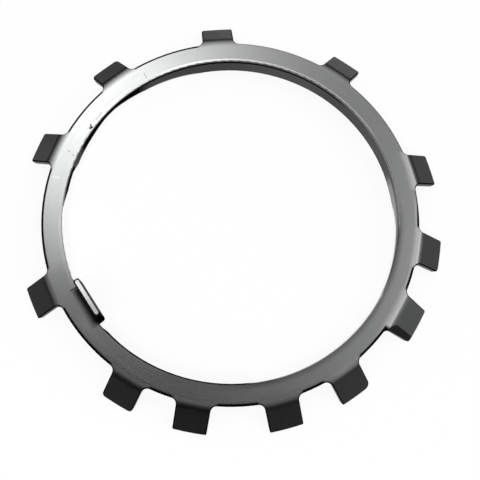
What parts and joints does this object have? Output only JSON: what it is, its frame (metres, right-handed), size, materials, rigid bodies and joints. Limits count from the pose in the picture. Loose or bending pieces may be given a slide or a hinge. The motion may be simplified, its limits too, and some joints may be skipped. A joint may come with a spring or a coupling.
{
  "type": "lock plate",
  "caption": "Flat ring of sheet steel with outer tabs bent down, a key bent up at the bore and a short collar turned down round the bore.",
  "frame": {"origin": "on the axis of the bore, level with the upper face of the ring", "axes": "+Z along the axis of the bore, the way the key stands up from the face; the outer tabs and the collar point to -Z; angles are counted from +X, and the key is at 215 degrees"},
  "size_m": [0.189, 0.1927, 0.0238],
  "materials": {
    "steel": "brushed, with the sheen and small marks of a used pressing"
  },
  "bodies": {
    "root": {"lock_plate": "steel"}
  },
  "joints": []
}
